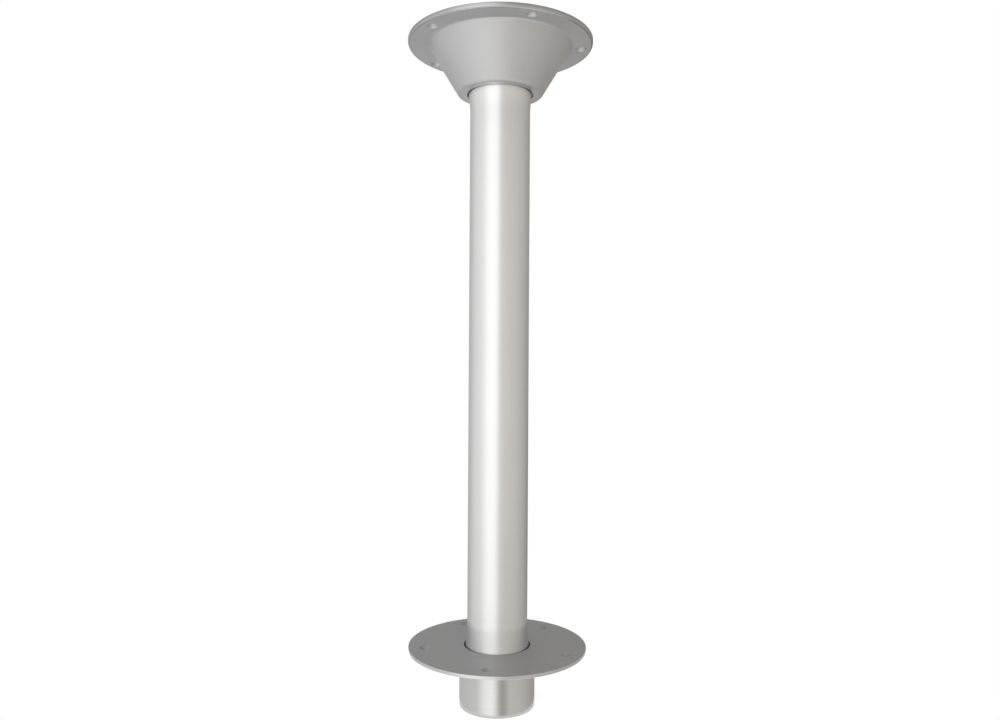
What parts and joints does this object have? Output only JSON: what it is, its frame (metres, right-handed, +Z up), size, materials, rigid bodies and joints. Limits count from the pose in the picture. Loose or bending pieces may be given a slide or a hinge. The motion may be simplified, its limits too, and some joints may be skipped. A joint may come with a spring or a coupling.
{
  "type": "table pedestal",
  "caption": "Table pedestal with a flush floor socket, a straight tube leg with tapered ends and a round flanged table socket with a hollow cone.",
  "frame": {"origin": "centre of the floor plane, which is the underside of the floor plate", "axes": "+Z up along the leg; +X and +Y in the floor plane, with the first floor screw 46.4 degrees from +X"},
  "size_m": [0.1852, 0.1852, 0.6643],
  "materials": {
    "floor_casting": "matt as cast on top, with a turned rim and cup",
    "leg_tube": "satin, brushed along the tube and anodised",
    "table_casting": "fine blasted casting"
  },
  "bodies": {
    "root": {"floor_socket": "floor_casting", "leg": "leg_tube", "table_socket": "table_casting"}
  },
  "joints": []
}
